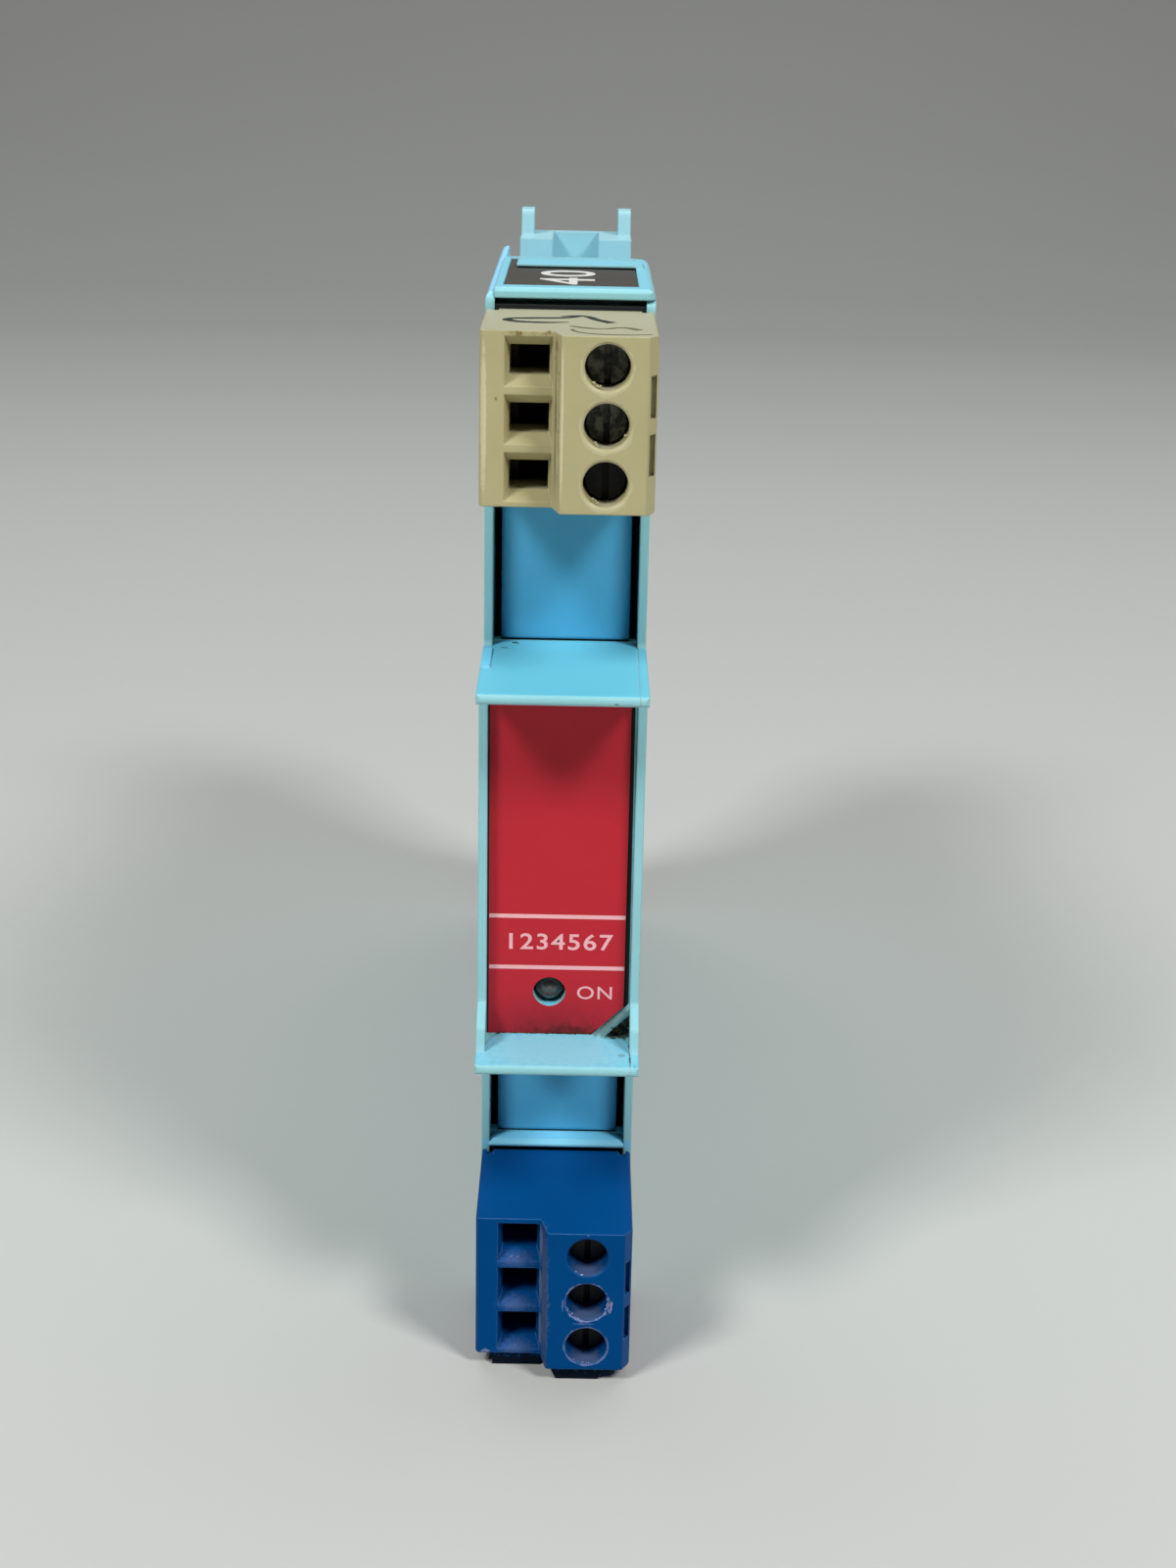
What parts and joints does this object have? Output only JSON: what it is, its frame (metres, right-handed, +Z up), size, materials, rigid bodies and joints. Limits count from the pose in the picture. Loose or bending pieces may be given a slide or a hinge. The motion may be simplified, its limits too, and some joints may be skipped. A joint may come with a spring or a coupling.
{
  "type": "loop-powered driver module",
  "caption": "Slim rail-mounted signal isolator in a split plastic case with pull-off screw terminal plugs, a labelled front panel, a tag holder and a sprung rail latch.",
  "frame": {"origin": "middle of the footprint, on the surface that the module stands on", "axes": "+Z up, +Y from the terminal plugs back to the rail foot, +X to the right as seen from the front"},
  "size_m": [0.0158, 0.122, 0.1066],
  "materials": {
    "case_plastic": "moulded pale cyan plastic with a faint sheen, soiled in its corners",
    "blank_plastic": "moulded blue plastic, darker toward its top",
    "socket_plastic": "moulded pale blue plastic",
    "beige_plastic": "moulded beige plastic with brown stains and pen marks",
    "blue_plastic": "moulded deep blue plastic, its edges worn pale",
    "black_plastic": "black moulded plastic",
    "label_film": "printed crimson film with fine pale lines",
    "lamp_lens": "dark clear resin, polished",
    "tag_film": "dark printed film with plain pale digits",
    "screw_steel": "zinc plated, dulled",
    "nut_steel": "zinc plated",
    "spring_steel": "bright drawn wire",
    "lever_brass": "stamped brass",
    "contact_copper": "stamped, tin plated copper alloy",
    "tinned_pins": "tin plated square pins",
    "board_laminate": "green solder mask on glass laminate",
    "ferrite": "ground dark grey ferrite",
    "bobbin_plastic": "moulded cream plastic",
    "winding_wire": "enamelled copper wire under clear tape",
    "capacitor_sleeve": "shrunk blue sleeve over an aluminium can",
    "film_capacitor_case": "moulded red box",
    "resistor_body": "lacquered blue-grey body",
    "diode_body": "black moulded body",
    "fuse_case": "moulded yellow box",
    "chip_body": "black moulded epoxy"
  },
  "bodies": {
    "case": {"case_base": "case_plastic", "case_cover": "case_plastic", "front_label": "label_film", "status_lamp": "lamp_lens", "upper_bay_blank": "blank_plastic", "lower_bay_blank": "blank_plastic", "safe_header": "black_plastic", "hazard_header": "black_plastic", "safe_header_pins": "tinned_pins", "hazard_header_pins": "tinned_pins", "tag_holder": "case_plastic", "tag_card": "tag_film", "bus_socket": "socket_plastic", "latch_spring": "spring_steel", "circuit_board": "board_laminate", "transformer_core": "ferrite", "transformer_bobbin": "bobbin_plastic", "transformer_winding": "winding_wire", "electrolytic_capacitors": "capacitor_sleeve", "film_capacitors": "film_capacitor_case", "power_resistors": "resistor_body", "shunt_diodes": "diode_body", "safety_fuse": "fuse_case", "control_chips": "chip_body", "output_transistor": "chip_body"},
    "rail_latch": {"rail_latch": "black_plastic"},
    "safe_plug": {"safe_plug_body": "beige_plastic", "safe_plug_nose": "black_plastic", "safe_plug_contacts": "contact_copper"},
    "safe_screw_1": {"safe_screw_1": "screw_steel"},
    "safe_nut_1": {"safe_nut_1": "nut_steel"},
    "safe_lever_1": {"safe_lever_1": "lever_brass"},
    "safe_screw_2": {"safe_screw_2": "screw_steel"},
    "safe_nut_2": {"safe_nut_2": "nut_steel"},
    "safe_lever_2": {"safe_lever_2": "lever_brass"},
    "safe_screw_3": {"safe_screw_3": "screw_steel"},
    "safe_nut_3": {"safe_nut_3": "nut_steel"},
    "safe_lever_3": {"safe_lever_3": "lever_brass"},
    "hazard_plug": {"hazard_plug_body": "blue_plastic", "hazard_plug_nose": "black_plastic", "hazard_plug_contacts": "contact_copper"},
    "hazard_screw_1": {"hazard_screw_1": "screw_steel"},
    "hazard_nut_1": {"hazard_nut_1": "nut_steel"},
    "hazard_lever_1": {"hazard_lever_1": "lever_brass"},
    "hazard_screw_2": {"hazard_screw_2": "screw_steel"},
    "hazard_nut_2": {"hazard_nut_2": "nut_steel"},
    "hazard_lever_2": {"hazard_lever_2": "lever_brass"},
    "hazard_screw_3": {"hazard_screw_3": "screw_steel"},
    "hazard_nut_3": {"hazard_nut_3": "nut_steel"},
    "hazard_lever_3": {"hazard_lever_3": "lever_brass"}
  },
  "joints": [
    {"name": "latch_pull", "type": "slide", "parent": "case", "child": "rail_latch", "axis": [0, 0, -1], "range_m": [0, 0.0025], "stiffness_N_per_m": 1000, "springref_m": -0.003, "deforming": ["latch_spring"]},
    {"name": "safe_plug_pull", "type": "slide", "parent": "case", "child": "safe_plug", "axis": [0, -1, 0], "range_m": [0, 0.012]},
    {"name": "safe_screw_turn_1", "type": "hinge", "parent": "safe_plug", "child": "safe_screw_1", "pos_m": [0.0034, -0.0555, 0.10178], "axis": [0, 1, 0], "range_deg": [0, 1200]},
    {"name": "safe_nut_slide_1", "type": "slide", "parent": "safe_plug", "child": "safe_nut_1", "axis": [0, -1, 0], "range_m": [0, 0.0015]},
    {"name": "safe_lever_tilt_1", "type": "hinge", "parent": "safe_plug", "child": "safe_lever_1", "pos_m": [0.0002, -0.04865, 0.10178], "axis": [0, 0, -1], "range_deg": [0, 25]},
    {"name": "safe_screw_turn_2", "type": "hinge", "parent": "safe_plug", "child": "safe_screw_2", "pos_m": [0.0034, -0.0555, 0.0967], "axis": [0, 1, 0], "range_deg": [0, 1200]},
    {"name": "safe_nut_slide_2", "type": "slide", "parent": "safe_plug", "child": "safe_nut_2", "axis": [0, -1, 0], "range_m": [0, 0.0015]},
    {"name": "safe_lever_tilt_2", "type": "hinge", "parent": "safe_plug", "child": "safe_lever_2", "pos_m": [0.0002, -0.04865, 0.0967], "axis": [0, 0, -1], "range_deg": [0, 25]},
    {"name": "safe_screw_turn_3", "type": "hinge", "parent": "safe_plug", "child": "safe_screw_3", "pos_m": [0.0034, -0.0555, 0.09162], "axis": [0, 1, 0], "range_deg": [0, 1200]},
    {"name": "safe_nut_slide_3", "type": "slide", "parent": "safe_plug", "child": "safe_nut_3", "axis": [0, -1, 0], "range_m": [0, 0.0015]},
    {"name": "safe_lever_tilt_3", "type": "hinge", "parent": "safe_plug", "child": "safe_lever_3", "pos_m": [0.0002, -0.04865, 0.09162], "axis": [0, 0, -1], "range_deg": [0, 25]},
    {"name": "hazard_plug_pull", "type": "slide", "parent": "case", "child": "hazard_plug", "axis": [0, -1, 0], "range_m": [0, 0.012]},
    {"name": "hazard_screw_turn_1", "type": "hinge", "parent": "hazard_plug", "child": "hazard_screw_1", "pos_m": [0.0034, -0.0555, 0.01438], "axis": [0, 1, 0], "range_deg": [0, 1200]},
    {"name": "hazard_nut_slide_1", "type": "slide", "parent": "hazard_plug", "child": "hazard_nut_1", "axis": [0, -1, 0], "range_m": [0, 0.0015]},
    {"name": "hazard_lever_tilt_1", "type": "hinge", "parent": "hazard_plug", "child": "hazard_lever_1", "pos_m": [0.0002, -0.04865, 0.01438], "axis": [0, 0, -1], "range_deg": [0, 25]},
    {"name": "hazard_screw_turn_2", "type": "hinge", "parent": "hazard_plug", "child": "hazard_screw_2", "pos_m": [0.0034, -0.0555, 0.0093], "axis": [0, 1, 0], "range_deg": [0, 1200]},
    {"name": "hazard_nut_slide_2", "type": "slide", "parent": "hazard_plug", "child": "hazard_nut_2", "axis": [0, -1, 0], "range_m": [0, 0.0015]},
    {"name": "hazard_lever_tilt_2", "type": "hinge", "parent": "hazard_plug", "child": "hazard_lever_2", "pos_m": [0.0002, -0.04865, 0.0093], "axis": [0, 0, -1], "range_deg": [0, 25]},
    {"name": "hazard_screw_turn_3", "type": "hinge", "parent": "hazard_plug", "child": "hazard_screw_3", "pos_m": [0.0034, -0.0555, 0.00422], "axis": [0, 1, 0], "range_deg": [0, 1200]},
    {"name": "hazard_nut_slide_3", "type": "slide", "parent": "hazard_plug", "child": "hazard_nut_3", "axis": [0, -1, 0], "range_m": [0, 0.0015]},
    {"name": "hazard_lever_tilt_3", "type": "hinge", "parent": "hazard_plug", "child": "hazard_lever_3", "pos_m": [0.0002, -0.04865, 0.00422], "axis": [0, 0, -1], "range_deg": [0, 25]}
  ],
  "couplings": [
    {"joint": "safe_screw_turn_1", "follows": "safe_nut_slide_1", "rad_per_m": 13962},
    {"joint": "safe_lever_tilt_1", "follows": "safe_nut_slide_1", "rad_per_m": 290.88},
    {"joint": "safe_screw_turn_2", "follows": "safe_nut_slide_2", "rad_per_m": 13962},
    {"joint": "safe_lever_tilt_2", "follows": "safe_nut_slide_2", "rad_per_m": 290.88},
    {"joint": "safe_screw_turn_3", "follows": "safe_nut_slide_3", "rad_per_m": 13962},
    {"joint": "safe_lever_tilt_3", "follows": "safe_nut_slide_3", "rad_per_m": 290.88},
    {"joint": "hazard_screw_turn_1", "follows": "hazard_nut_slide_1", "rad_per_m": 13962},
    {"joint": "hazard_lever_tilt_1", "follows": "hazard_nut_slide_1", "rad_per_m": 290.88},
    {"joint": "hazard_screw_turn_2", "follows": "hazard_nut_slide_2", "rad_per_m": 13962},
    {"joint": "hazard_lever_tilt_2", "follows": "hazard_nut_slide_2", "rad_per_m": 290.88},
    {"joint": "hazard_screw_turn_3", "follows": "hazard_nut_slide_3", "rad_per_m": 13962},
    {"joint": "hazard_lever_tilt_3", "follows": "hazard_nut_slide_3", "rad_per_m": 290.88}
  ]
}
